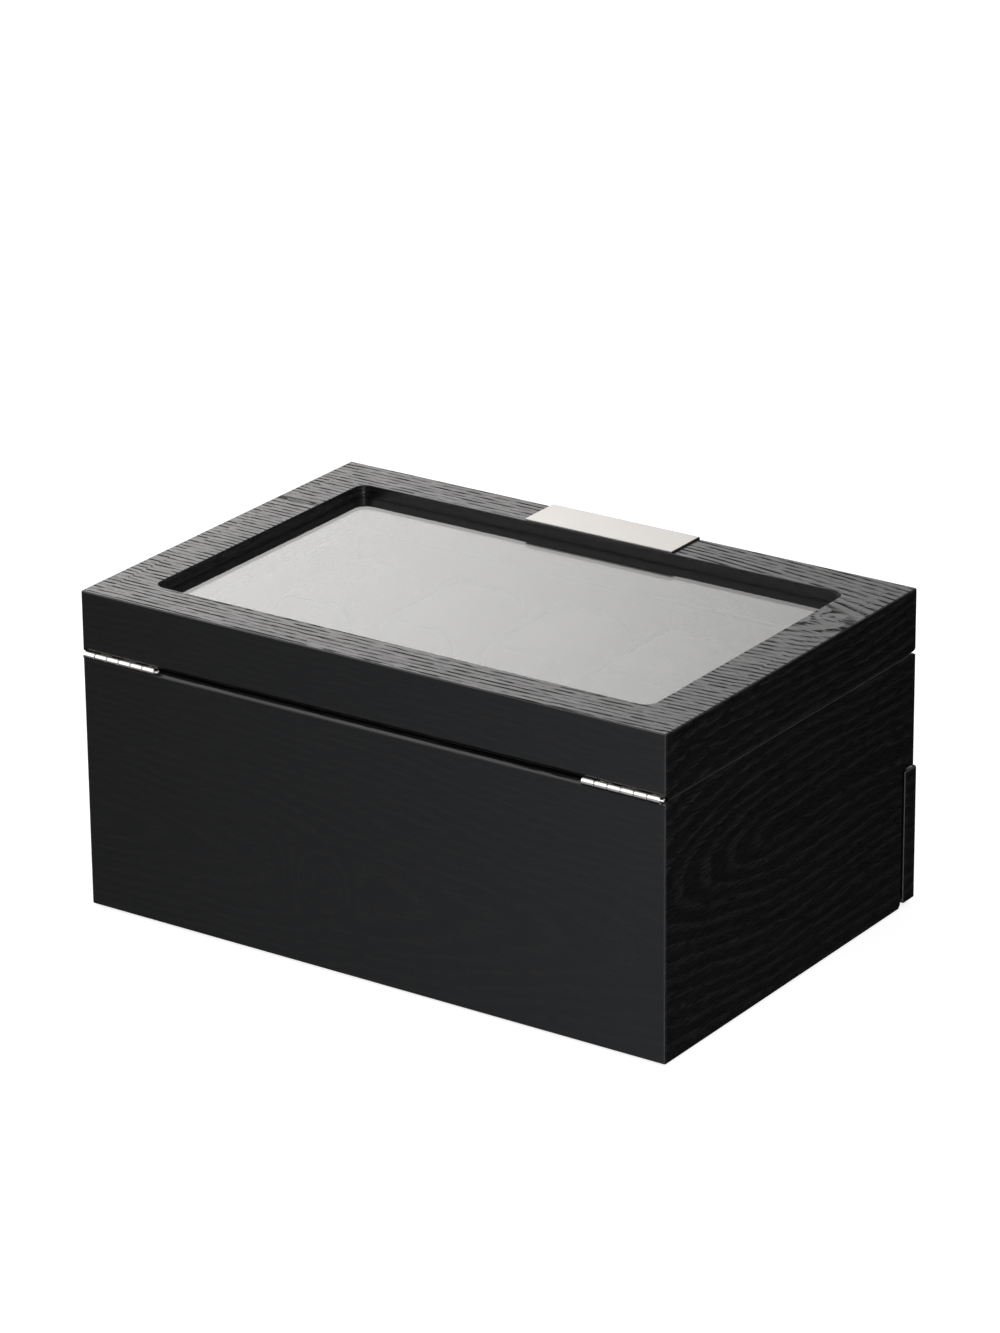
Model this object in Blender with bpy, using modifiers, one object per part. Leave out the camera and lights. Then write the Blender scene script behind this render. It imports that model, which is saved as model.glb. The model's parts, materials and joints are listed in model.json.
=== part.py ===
"""A watch box in black-stained oak veneer: a mitred case, a hinged lid with a glass window, and a full-width
drawer below. Ten cushioned compartments lie under the glass and ten more in the drawer.

Metres, +Z up. The front faces -Y and the hinges are at +Y. The origin is at the centre of the underside of the
felt base. The drawer stands 3 mm ajar, and the lid is closed.
"""

import math

import bmesh
import bpy
from mathutils import Matrix, Vector

# Whole box
LENGTH = 0.310
DEPTH = 0.206
HEIGHT = 0.153
SEAM_Z = 0.123
WOOD_BOTTOM = 0.001
GAP = 0.0003
SEAM_GAP = 0.0005
HALF_L = LENGTH / 2
HALF_D = DEPTH / 2

# Boards
WALL = 0.010
CORNER_RADIUS = 0.001
BOTTOM_THICK = 0.005
FELT_THICK = 0.0007
FELT_INSET = 0.004
INNER_X = HALF_L - WALL
INNER_Y = HALF_D - WALL

# The rounded lips that face each other along the front and back of the seam
LIP_HEIGHT = 0.0028
LIP_DEPTH = 0.0040

# Lid
RAIL_WIDTH = 0.023
FRAME_THICK = 0.005
WINDOW_RADIUS = 0.006
GLASS_THICK = 0.003
GLASS_LAP = 0.006
RETAINER_HEIGHT = 0.005
RETAINER_WIDTH = 0.0116
PLATE_LENGTH = 0.080
PLATE_THICK = 0.0008
PLATE_GAP = 0.0002
PLATE_DROP = 0.018
FOLD_RADIUS = 0.0014

# Drawer
DRAWER_AJAR = 0.003
DRAWER_TOP = 0.067
DRAWER_BOTTOM = 0.0018
OPENING_TOP = 0.0685
DRAWER_FRONT_THICK = WALL - GAP
DRAWER_SIDE_THICK = 0.007
DRAWER_SIDE_PLAY = 0.0013
DRAWER_SIDE_TOP = 0.058
DRAWER_DEPTH = 0.181
DRAWER_LIFT = 0.0006
DRAWER_BOTTOM_THICK = 0.003
FOOT_RADIUS = 0.003
PULL_WIDTH = 0.080
PULL_HEIGHT = 0.014
PULL_REACH = 0.009
PULL_THICK = 0.0010
PULL_TOP = 0.060

# Compartments
COLUMNS = 5
TRAY_FLOOR_Z = 0.0688
TRAY_FLOOR_THICK = 0.0042
TRAY_LINING = 0.0012
TRAY_LINING_TOP = 0.1218
TRAY_DIVIDER_TOP = 0.110
DRAWER_LINING = 0.0010
DRAWER_DIVIDER_TOP = 0.046
DIVIDER_THICK = 0.0045
CUSHION_SIZE = Vector((0.0475, 0.072, 0.043))
CUSHION_ROUND = 0.012

# Butt hinges
HINGE_X = 0.1334
HINGE_LENGTH = 0.0398
HINGE_Y = HALF_D + 0.0006
KNUCKLES = 6
KNUCKLE_GAP = 0.0003
BARREL_RADIUS = 0.0018
BORE_RADIUS = 0.0008
PIN_RADIUS = 0.0006
PIN_OUT = 0.0014
LEAF_THICK = 0.0010
LEAF_DEPTH = 0.0087
LEAF_CLEAR = 0.0023
BARREL_SIDES = 24

COLOURS = {
    "veneer": ((0.012, 0.012, 0.013), 0.45, 0.0),
    "ply": ((0.02, 0.019, 0.018), 0.7, 0.0),
    "velour": ((0.006, 0.006, 0.007), 0.95, 0.0),
    "cushion": ((0.008, 0.008, 0.009), 0.9, 0.0),
    "felt": ((0.01, 0.01, 0.01), 1.0, 0.0),
    "glass": ((0.75, 0.78, 0.78), 0.05, 0.0),
    "steel": ((0.72, 0.70, 0.67), 0.3, 1.0),
    "nickel": ((0.83, 0.82, 0.80), 0.15, 1.0),
}

ALONG_X = Matrix(((0, 0, 1), (1, 0, 0), (0, 1, 0))).to_euler()


def clear_scene():
    for obj in list(bpy.data.objects):
        bpy.data.objects.remove(obj)


def new_collection(name):
    made = bpy.data.collections.new(name)
    bpy.context.scene.collection.children.link(made)
    return made


def new_material(name):
    colour, roughness, metallic = COLOURS[name]
    made = bpy.data.materials.new(name)
    made.use_nodes = True
    shader = made.node_tree.nodes["Principled BSDF"]
    shader.inputs["Base Color"].default_value = (*colour, 1)
    shader.inputs["Roughness"].default_value = roughness
    shader.inputs["Metallic"].default_value = metallic
    if name == "glass":
        shader.inputs["Transmission Weight"].default_value = 1
    made.diffuse_color = (*colour, 1)
    return made


class Workshop:
    """The collections, the materials and the empties that the moving bodies hang on."""

    def __init__(self):
        self.parts = new_collection("watch_box")
        self.cutters = new_collection("cutters")
        self.materials = {name: new_material(name) for name in COLOURS}
        self.case = None
        self.lid = self.axis("lid_axis", (0, HINGE_Y, SEAM_Z))
        self.drawer = self.axis("drawer_axis", (0, -HALF_D - DRAWER_AJAR, 0))

    def axis(self, name, place):
        empty = bpy.data.objects.new(name, None)
        empty.location = place
        empty.empty_display_size = 0.03
        self.parts.objects.link(empty)
        return empty

    def part(self, name, mesh, place, material, parent=None, turn=(0, 0, 0)):
        obj = bpy.data.objects.new(name, mesh)
        mesh.name = name
        mesh.materials.append(self.materials[material])
        obj.rotation_euler = turn
        obj.parent = parent
        obj.location = Vector(place) - (parent.location if parent else Vector())
        self.parts.objects.link(obj)
        return obj

    def cutter(self, name, mesh, place, turn=(0, 0, 0)):
        obj = bpy.data.objects.new(name, mesh)
        obj.rotation_euler = turn
        obj.location = place
        obj.hide_render = True
        obj.display_type = "WIRE"
        self.cutters.objects.link(obj)
        return obj


def box_mesh(size):
    mesh = bpy.data.meshes.new("box")
    shape = bmesh.new()
    bmesh.ops.create_cube(shape, size=1)
    bmesh.ops.scale(shape, vec=Vector(size), verts=shape.verts)
    shape.to_mesh(mesh)
    shape.free()
    return mesh


def rod_mesh(radius, length, sides):
    """A cylinder along X."""
    mesh = bpy.data.meshes.new("rod")
    shape = bmesh.new()
    turned = Matrix.Rotation(math.radians(90), 4, "Y")
    bmesh.ops.create_cone(
        shape, cap_ends=True, segments=sides, radius1=radius, radius2=radius, depth=length, matrix=turned
    )
    shape.to_mesh(mesh)
    shape.free()
    return mesh


def prism_mesh(outlines, height):
    """A flat outline in the local XY plane, with further outlines as its holes, extruded along local Z."""
    curve = bpy.data.curves.new("outline", "CURVE")
    curve.dimensions = "2D"
    curve.fill_mode = "BOTH"
    curve.extrude = height / 2
    for points in outlines:
        spline = curve.splines.new("POLY")
        spline.points.add(len(points) - 1)
        for point, (x, y) in zip(spline.points, points):
            point.co = (x, y, 0, 1)
        spline.use_cyclic_u = True
    guide = bpy.data.objects.new("outline", curve)
    bpy.context.scene.collection.objects.link(guide)
    graph = bpy.context.evaluated_depsgraph_get()
    mesh = bpy.data.meshes.new_from_object(guide.evaluated_get(graph))
    shape = bmesh.new()
    shape.from_mesh(mesh)
    bmesh.ops.remove_doubles(shape, verts=shape.verts, dist=1e-6)
    bmesh.ops.recalc_face_normals(shape, faces=shape.faces)
    shape.to_mesh(mesh)
    shape.free()
    bpy.data.objects.remove(guide)
    return mesh


def arc(centre, radii, start, end, steps):
    """Points of an elliptic arc, with angles in degrees."""
    turns = [math.radians(start + (end - start) * i / steps) for i in range(steps + 1)]
    return [(centre[0] + radii[0] * math.cos(a), centre[1] + radii[1] * math.sin(a)) for a in turns]


def rounded_rectangle(half_x, half_y, radius, steps):
    points = []
    for quarter, (sx, sy) in enumerate(((1, 1), (-1, 1), (-1, -1), (1, -1))):
        centre = (sx * (half_x - radius), sy * (half_y - radius))
        points += arc(centre, (radius, radius), quarter * 90, quarter * 90 + 90, steps)
    return points


def cut(obj, *cutters, operation="DIFFERENCE"):
    for cutter in cutters:
        modifier = obj.modifiers.new(cutter.name, "BOOLEAN")
        modifier.operation = operation
        modifier.object = cutter


def bevel(obj, width, segments=2):
    modifier = obj.modifiers.new("rounded_edges", "BEVEL")
    modifier.width = width
    modifier.segments = segments
    modifier.limit_method = "ANGLE"
    modifier.angle_limit = math.radians(40)


def board(shop, name, low, high, material, parent=None, rounding=0.0):
    """A plain board between two corners."""
    low, high = Vector(low), Vector(high)
    made = shop.part(name, box_mesh(high - low), (low + high) / 2, material, parent)
    if rounding:
        bevel(made, rounding)
    return made


# Case and lid walls


def mitred_outline(half_length):
    """A wall in plan, its outer face on y = 0, with mitred ends and a small round on each outer corner."""
    back_off = GAP * math.sqrt(0.5)
    centre = (half_length - CORNER_RADIUS - back_off, -CORNER_RADIUS)
    half = [(half_length - WALL - back_off, -WALL)]
    half += arc(centre, (CORNER_RADIUS, CORNER_RADIUS), 45, 90, 3)
    return half + [(-x, y) for x, y in reversed(half)]


def mitred_wall(shop, name, side, low_z, high_z, parent=None):
    half_length, place, degrees = {
        "back": (HALF_L, (0, HALF_D), 0),
        "left": (HALF_D, (-HALF_L, 0), 90),
        "front": (HALF_L, (0, -HALF_D), 180),
        "right": (HALF_D, (HALF_L, 0), 270),
    }[side]
    mesh = prism_mesh([mitred_outline(half_length)], high_z - low_z)
    centre = (*place, (low_z + high_z) / 2)
    return shop.part(name, mesh, centre, "veneer", parent, (0, 0, math.radians(degrees)))


def lip_cutter(shop, name, facing):
    """What the two rounded lips leave open along the seam: facing is +1 at the back and -1 at the front."""
    lips = arc((-LIP_DEPTH, -LIP_HEIGHT), (LIP_DEPTH, LIP_HEIGHT), 0, 90, 8)
    groove = lips + [(y, -z) for y, z in reversed(lips)][1:]
    beyond = 2 * LIP_DEPTH
    outline = [(facing * y, z) for y, z in [(beyond, -LIP_HEIGHT), *groove, (beyond, LIP_HEIGHT)]]
    mesh = prism_mesh([outline], LENGTH + 2 * WALL)
    return shop.cutter(name, mesh, (0, facing * HALF_D, SEAM_Z), ALONG_X)


def hinge_mortises(shop):
    """Room for the leaves and the barrel of each hinge, in the lid and in the case."""
    made = []
    size = (HINGE_LENGTH + 2 * GAP, LEAF_DEPTH + GAP, 2 * LEAF_THICK + 3 * GAP)
    leaf_y = HINGE_Y - size[1] / 2
    for side, name in ((-1, "left"), (1, "right")):
        place = Vector((side * HINGE_X, leaf_y, SEAM_Z))
        made.append(shop.cutter(f"leaf_mortise_{name}", box_mesh(size), place))
        room = rod_mesh(BARREL_RADIUS + GAP, size[0], BARREL_SIDES)
        place = (side * HINGE_X, HINGE_Y, SEAM_Z)
        made.append(shop.cutter(f"barrel_room_{name}", room, place))
    return made


def drawer_notch(shop):
    """Cuts the lower front of each side back to the drawer front, with a small round at the bottom corner."""
    front = -HALF_D - WALL
    face = -INNER_Y
    foot = arc((face + FOOT_RADIUS, WOOD_BOTTOM + FOOT_RADIUS), (FOOT_RADIUS, FOOT_RADIUS), 270, 180, 4)
    outline = [(front, 0), (face + FOOT_RADIUS, 0), *foot, (face, OPENING_TOP), (front, OPENING_TOP)]
    return shop.cutter("drawer_notch", prism_mesh([outline], LENGTH + 2 * WALL), (0, 0, 0), ALONG_X)


def case_walls(shop, lips, mortises):
    top = SEAM_Z - SEAM_GAP / 2
    notch = drawer_notch(shop)
    for side in ("left", "right"):
        wall = mitred_wall(shop, f"case_{side}_side", side, WOOD_BOTTOM, top)
        cut(wall, notch, *lips, *mortises[side])
    back = mitred_wall(shop, "case_back_panel", "back", WOOD_BOTTOM, top)
    cut(back, lips[0], *mortises["left"], *mortises["right"])
    cut(mitred_wall(shop, "case_front_rail", "front", OPENING_TOP, top), lips[1])


def case_floor(shop):
    x, y = INNER_X - GAP, INNER_Y - GAP
    floor_z = WOOD_BOTTOM + BOTTOM_THICK
    board(shop, "case_bottom_panel", (-x, -y, WOOD_BOTTOM), (x, y, floor_z), "ply")
    low = (-HALF_L + FELT_INSET, -INNER_Y + FELT_INSET, 0)
    board(shop, "felt_base", low, (HALF_L - FELT_INSET, HALF_D - FELT_INSET, FELT_THICK), "felt")
    tray_top = TRAY_FLOOR_Z + TRAY_FLOOR_THICK
    board(shop, "tray_floor", (-x, -y, TRAY_FLOOR_Z), (x, y, tray_top), "ply")


def lid_walls(shop, lips, mortises):
    low, high = SEAM_Z + SEAM_GAP / 2, HEIGHT - FRAME_THICK - GAP
    for side in ("left", "right"):
        wall = mitred_wall(shop, f"lid_{side}_rail", side, low, high, shop.lid)
        cut(wall, *lips, *mortises[side])
    back = mitred_wall(shop, "lid_back_rail", "back", low, high, shop.lid)
    cut(back, lips[0], *mortises["left"], *mortises["right"])
    cut(mitred_wall(shop, "lid_front_rail", "front", low, high, shop.lid), lips[1])


# Lid


def lid_frame(shop):
    window = (HALF_L - RAIL_WIDTH, HALF_D - RAIL_WIDTH)
    outlines = [
        rounded_rectangle(HALF_L, HALF_D, CORNER_RADIUS, 6),
        rounded_rectangle(*window, WINDOW_RADIUS, 12),
    ]
    place = (0, 0, HEIGHT - FRAME_THICK / 2)
    shop.part("lid_top_frame", prism_mesh(outlines, FRAME_THICK), place, "veneer", shop.lid)
    glass_top = HEIGHT - FRAME_THICK - GAP
    high = Vector((window[0] + GLASS_LAP, window[1] + GLASS_LAP, glass_top))
    low = Vector((-high.x, -high.y, glass_top - GLASS_THICK))
    board(shop, "lid_glass", low, high, "glass", shop.lid)
    outer = (INNER_X - GAP, INNER_Y - GAP)
    bead = [
        rounded_rectangle(*outer, CORNER_RADIUS, 2),
        rounded_rectangle(outer[0] - RETAINER_WIDTH, outer[1] - RETAINER_WIDTH, WINDOW_RADIUS, 3),
    ]
    place = (0, 0, low.z - GAP - RETAINER_HEIGHT / 2)
    shop.part("glass_retainer", prism_mesh(bead, RETAINER_HEIGHT), place, "velour", shop.lid)


def folded_outline(corner, toward, level, drop, thick):
    """A folded plate from the side: a level leg that runs from the corner toward +Y or -Y, and a leg down."""
    centre = (FOLD_RADIUS, -FOLD_RADIUS)
    inside = FOLD_RADIUS - thick
    outline = [(level, 0), *arc(centre, (FOLD_RADIUS, FOLD_RADIUS), 90, 180, 5), (0, -drop), (thick, -drop)]
    outline += [*arc(centre, (inside, inside), 180, 90, 5), (level, -thick)]
    return [(corner[0] + toward * y, corner[1] + z) for y, z in outline]


def folded_plate(shop, name, outline, length, parent):
    about = parent.location
    outline = [(y - about.y, z - about.z) for y, z in outline]
    shop.part(name, prism_mesh([outline], length), about, "steel", parent, ALONG_X)


def lid_plate(shop):
    """The plate over the lid's front rail, from the window's edge over the front edge and down."""
    front = -HALF_D - PLATE_GAP - PLATE_THICK
    top = HEIGHT + PLATE_GAP + PLATE_THICK
    level = -HALF_D + RAIL_WIDTH - front
    outline = folded_outline((front, top), 1, level, PLATE_DROP, PLATE_THICK)
    folded_plate(shop, "lid_plate", outline, PLATE_LENGTH, shop.lid)


# Hinges


def knuckle_outline(side):
    """A knuckle from the end, about the pin: the barrel and the neck to its leaf, above for side +1, below for -1."""
    near, far = GAP / 2, GAP / 2 + LEAF_THICK
    near_angle, far_angle = [math.degrees(math.asin(z / BARREL_RADIUS)) for z in (near, far)]
    neck = -LEAF_CLEAR - GAP
    barrel = arc((0, 0), (BARREL_RADIUS, BARREL_RADIUS), 180 - far_angle, -180 - near_angle, BARREL_SIDES)
    outline = [(neck, near), (neck, far), *barrel]
    return [(y, side * z) for y, z in outline]


def hinge_leaf(shop, name, centre_x, side, parent):
    """One leaf with its three knuckles: side +1 is the lid's and -1 the case's."""
    pitch = HINGE_LENGTH / KNUCKLES
    low_z = SEAM_Z + side * GAP / 2
    far_z = SEAM_Z + side * (GAP / 2 + LEAF_THICK)
    low = Vector((centre_x - HINGE_LENGTH / 2, HINGE_Y - LEAF_DEPTH, min(low_z, far_z)))
    high = Vector((centre_x + HINGE_LENGTH / 2, HINGE_Y - LEAF_CLEAR, max(low_z, far_z)))
    leaf = board(shop, name, low, high, "nickel", parent)
    bore = arc((0, 0), (BORE_RADIUS, BORE_RADIUS), 0, 360 - 360 / BARREL_SIDES, BARREL_SIDES - 1)
    first = 0 if side < 0 else 1
    for index in range(first, KNUCKLES, 2):
        mesh = prism_mesh([knuckle_outline(side), bore], pitch - KNUCKLE_GAP)
        middle = centre_x - HINGE_LENGTH / 2 + (index + 0.5) * pitch
        knuckle = shop.cutter(f"{name}_knuckle_{index}", mesh, (middle, HINGE_Y, SEAM_Z), ALONG_X)
        cut(leaf, knuckle, operation="UNION")
    return leaf


def hinges(shop):
    for side, name in ((-1, "left"), (1, "right")):
        centre_x = side * HINGE_X
        hinge_leaf(shop, f"hinge_{name}_case_leaf", centre_x, -1, shop.case)
        hinge_leaf(shop, f"hinge_{name}_lid_leaf", centre_x, 1, shop.lid)
        pin = rod_mesh(PIN_RADIUS, HINGE_LENGTH + PIN_OUT, BARREL_SIDES)
        place = (centre_x - PIN_OUT / 2, HINGE_Y, SEAM_Z)
        shop.part(f"hinge_{name}_pin", pin, place, "nickel", shop.case)


# Compartments


def open_box(shop, name, low, high, thick, parent=None):
    """A lining: a floor and four walls of one thickness, open on top."""
    low, high = Vector(low), Vector(high)
    inside_low = low + Vector((thick, thick, thick))
    inside_high = high + Vector((-thick, -thick, thick))
    room = shop.cutter(f"{name}_room", box_mesh(inside_high - inside_low), (inside_low + inside_high) / 2)
    cut(board(shop, name, low, high, "velour", parent), room)
    return inside_low, Vector((inside_high.x, inside_high.y, high.z))


def compartments(shop, prefix, low, high, top, parent=None):
    """Slotted dividers that cross each other, and a cushion in each compartment they make."""
    low = low + Vector((GAP, GAP, GAP))
    high = high - Vector((GAP, GAP, 0))
    half_thick = DIVIDER_THICK / 2
    width = (high.x - low.x - (COLUMNS - 1) * DIVIDER_THICK) / COLUMNS
    depth = (high.y - low.y - DIVIDER_THICK) / 2
    centre_y = (low.y + high.y) / 2
    middle_z = (low.z + top) / 2
    slot = DIVIDER_THICK + 2 * GAP
    slot_height = (top - low.z) / 2 + GAP

    long_low = (low.x, centre_y - half_thick, low.z)
    long_high = (high.x, centre_y + half_thick, top)
    long_divider = board(shop, f"{prefix}_long_divider", long_low, long_high, "velour", parent)
    for index in range(1, COLUMNS):
        x = low.x + index * (width + DIVIDER_THICK) - half_thick
        cross_low = (x - half_thick, low.y, low.z)
        cross_high = (x + half_thick, high.y, top)
        cross = board(shop, f"{prefix}_cross_divider_{index}", cross_low, cross_high, "velour", parent)
        size = (slot, slot, slot_height)
        below = shop.cutter(
            f"{prefix}_slot_below_{index}", box_mesh(size), (x, centre_y, middle_z + GAP / 2 - slot_height / 2)
        )
        above = shop.cutter(
            f"{prefix}_slot_above_{index}", box_mesh(size), (x, centre_y, middle_z - GAP / 2 + slot_height / 2)
        )
        cut(long_divider, below)
        cut(cross, above)

    for row in range(2):
        for column in range(COLUMNS):
            x = low.x + column * (width + DIVIDER_THICK) + width / 2
            y = centre_y + (row - 0.5) * (depth + DIVIDER_THICK)
            name = f"{prefix}_cushion_{row * COLUMNS + column + 1}"
            place = (x, y, low.z + CUSHION_SIZE.z / 2)
            bevel(shop.part(name, box_mesh(CUSHION_SIZE), place, "cushion", parent), CUSHION_ROUND, 3)


def tray(shop):
    x, y = INNER_X - GAP, INNER_Y - GAP
    floor_z = TRAY_FLOOR_Z + TRAY_FLOOR_THICK + GAP
    low, high = open_box(shop, "tray_lining", (-x, -y, floor_z), (x, y, TRAY_LINING_TOP), TRAY_LINING)
    compartments(shop, "tray", low, high, TRAY_DIVIDER_TOP)


# Drawer


def drawer(shop):
    """The front, a box behind it with butted corners, its lining, its compartments and its pull."""
    body = shop.drawer
    face = -HALF_D - DRAWER_AJAR
    inner_face = face + DRAWER_FRONT_THICK
    front_low = (-HALF_L, face, DRAWER_BOTTOM)
    board(shop, "drawer_front", front_low, (HALF_L, inner_face, DRAWER_TOP), "veneer", body, CORNER_RADIUS)

    outer_x = INNER_X - DRAWER_SIDE_PLAY
    inner_x = outer_x - DRAWER_SIDE_THICK
    start_y = inner_face + GAP
    end_y = start_y + DRAWER_DEPTH
    base_z = WOOD_BOTTOM + BOTTOM_THICK + DRAWER_LIFT
    for side, name in ((-1, "left"), (1, "right")):
        xs = sorted((side * inner_x, side * outer_x))
        low, high = (xs[0], start_y, base_z), (xs[1], end_y, DRAWER_SIDE_TOP)
        board(shop, f"drawer_{name}_side", low, high, "ply", body)
    x = inner_x - GAP
    back_y = end_y - DRAWER_SIDE_THICK
    board(shop, "drawer_back", (-x, back_y, base_z), (x, end_y, DRAWER_SIDE_TOP), "ply", body)
    bottom_top = base_z + DRAWER_BOTTOM_THICK
    board(shop, "drawer_bottom", (-x, start_y, base_z), (x, back_y - GAP, bottom_top), "ply", body)

    low = (-x, start_y, bottom_top + GAP)
    high = (x, back_y - GAP, DRAWER_SIDE_TOP - GAP)
    low, high = open_box(shop, "drawer_lining", low, high, DRAWER_LINING, body)
    compartments(shop, "drawer", low, high, DRAWER_DIVIDER_TOP, body)
    drawer_pull(shop, face)


def drawer_pull(shop, face):
    """A folded finger lip across the middle of the drawer front."""
    outline = folded_outline((face - PLATE_GAP, PULL_TOP), -1, PULL_REACH, PULL_HEIGHT, PULL_THICK)
    folded_plate(shop, "drawer_pull", outline, PULL_WIDTH, shop.drawer)


def main():
    clear_scene()
    shop = Workshop()
    lips = (lip_cutter(shop, "back_lips", 1), lip_cutter(shop, "front_lips", -1))
    cutters = hinge_mortises(shop)
    mortises = {"left": cutters[:2], "right": cutters[2:]}
    case_walls(shop, lips, mortises)
    case_floor(shop)
    tray(shop)
    lid_walls(shop, lips, mortises)
    lid_frame(shop)
    lid_plate(shop)
    hinges(shop)
    drawer(shop)
    for obj in shop.parts.objects:
        if obj.type == "MESH":
            obj.data.shade_smooth()
            obj.data.set_sharp_from_angle(angle=math.radians(30))


main()
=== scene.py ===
"""The looks of the watch box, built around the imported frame: a mitred case in black-stained open-pore
oak veneer, a lid with a glass window, a drawer, nickel butt hinges, a steel plate and pull, and velour
compartments with cushions.

Metres, +Z up. The front faces -Y and the hinges are at +Y.
"""

import json
import math
import random

import bmesh
import bpy
from mathutils import Matrix, Vector, noise


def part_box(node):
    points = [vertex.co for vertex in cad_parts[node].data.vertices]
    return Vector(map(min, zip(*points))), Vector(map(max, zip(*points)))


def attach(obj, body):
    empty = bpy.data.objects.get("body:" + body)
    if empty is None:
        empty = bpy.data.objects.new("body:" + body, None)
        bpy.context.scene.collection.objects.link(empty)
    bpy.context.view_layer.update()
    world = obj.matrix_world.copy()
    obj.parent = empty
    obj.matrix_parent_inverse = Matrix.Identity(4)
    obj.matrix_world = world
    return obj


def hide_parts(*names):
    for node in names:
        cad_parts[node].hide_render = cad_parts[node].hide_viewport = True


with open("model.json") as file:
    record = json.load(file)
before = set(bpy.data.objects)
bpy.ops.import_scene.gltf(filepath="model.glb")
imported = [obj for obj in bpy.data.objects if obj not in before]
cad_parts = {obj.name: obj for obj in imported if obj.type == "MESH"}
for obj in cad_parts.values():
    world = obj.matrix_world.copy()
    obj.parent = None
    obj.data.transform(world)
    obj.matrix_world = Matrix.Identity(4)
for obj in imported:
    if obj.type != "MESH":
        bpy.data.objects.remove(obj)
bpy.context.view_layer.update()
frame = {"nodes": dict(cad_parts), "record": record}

BODY_OF = {node: body for body, nodes in frame["record"]["behaviour"]["bodies"].items() for node in nodes}

# The box, from the frame
HALF_L, HALF_D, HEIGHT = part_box("lid_top_frame")[1]
RAIL_LOW, RAIL_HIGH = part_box("case_front_rail")
WALL = RAIL_HIGH.y - RAIL_LOW.y
INNER_X, INNER_Y = HALF_L - WALL, HALF_D - WALL
WOOD_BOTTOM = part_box("case_back_panel")[0].z
OPENING_TOP = RAIL_LOW.z
CASE_TOP = RAIL_HIGH.z
LID_BOTTOM, LID_RAIL_TOP = [corner.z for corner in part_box("lid_front_rail")]

# Edges. The lips are the rounded edges along the seam, at front and back.
CORNER_RADIUS = 0.0010
CORNER_STEPS = 12
LIP_HEIGHT = 0.0028
LIP_DEPTH = 0.0040
LIP_STEPS = 12
EDGE = 0.0005
EDGE_STEPS = 3
TOP_EDGE = 0.0008
TOP_EDGE_STEPS = 6
WINDOW_EDGE = 0.0004
WINDOW_EDGE_STEPS = 4
WINDOW_RADIUS = 0.006
RAIL_WIDTH = 0.023
FOOT_RADIUS = 0.003

# Edges bent by more than SHARP get rounded, and those still bent by more than CREASE are shaded sharp.
SHARP = math.radians(30)
CREASE = math.radians(46)
NEAR = 1e-6

# Sheet metal
PLATE_THICK = 0.0008
PULL_THICK = 0.0010
FOLD_RADIUS = 0.0014
METAL_EDGE = 0.00015

# Hinges. LEAF_GAP is the room between two leaves and around them, and LEAF_CLEAR runs from the pin's axis
# to a leaf's edge.
KNUCKLES = 6
KNUCKLE_GAP = 0.0005
LEAF_THICK = 0.0010
LEAF_GAP = 0.0003
LEAF_CLEAR = 0.0023
BORE_RADIUS = 0.0008
BARREL_STEPS = 48
SCREW_OFFSETS = (-0.013, 0.0, 0.013)
SCREW_HEAD = 0.0018
SCREW_PROUD = 0.00012
SCREW_STEPS = 32
SINK_DEPTH = 1.4 * LEAF_THICK
SINK_WIDE = 1.06 * SCREW_HEAD
SINK_NARROW = 0.35 * SCREW_HEAD


# Meshes


def new_object(name, mesh):
    made = bpy.data.objects.new(name, mesh)
    bpy.context.scene.collection.objects.link(made)
    return made


def mesh_from(shape):
    """The mesh of a finished bmesh, with its faces pointing out."""
    bmesh.ops.recalc_face_normals(shape, faces=shape.faces)
    mesh = bpy.data.meshes.new("shape")
    shape.to_mesh(mesh)
    shape.free()
    return mesh


def applied(obj):
    """Makes an object's modifiers part of its mesh."""
    graph = bpy.context.evaluated_depsgraph_get()
    mesh = bpy.data.meshes.new_from_object(obj.evaluated_get(graph))
    obj.modifiers.clear()
    obj.data = mesh
    return obj


def combine(obj, *others, operation="DIFFERENCE"):
    """Cuts other solids from an object, or joins them to it, and removes them."""
    for other in others:
        modifier = obj.modifiers.new("combine", "BOOLEAN")
        modifier.operation = operation
        modifier.object = other
    applied(obj)
    for other in others:
        bpy.data.objects.remove(other)
    return obj


def box_solid(low, high):
    shape = bmesh.new()
    bmesh.ops.create_cube(shape, size=1)
    low, high = Vector(low), Vector(high)
    bmesh.ops.scale(shape, vec=high - low, verts=shape.verts)
    bmesh.ops.translate(shape, vec=(low + high) / 2, verts=shape.verts)
    return new_object("box", mesh_from(shape))


def cone_mesh(low_radius, high_radius, depth, steps, matrix):
    """A cone or a cylinder that a matrix turns and moves into place from the origin and the Z axis."""
    shape = bmesh.new()
    radii = {"radius1": low_radius, "radius2": high_radius}
    bmesh.ops.create_cone(shape, cap_ends=True, segments=steps, depth=depth, matrix=matrix, **radii)
    return mesh_from(shape)


def rod_solid(radius, low_x, high_x, y, z):
    """A cylinder along X."""
    turn = Matrix.Translation(((low_x + high_x) / 2, y, z)) @ Matrix.Rotation(math.radians(90), 4, "Y")
    return new_object("rod", cone_mesh(radius, radius, high_x - low_x, BARREL_STEPS, turn))


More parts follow.
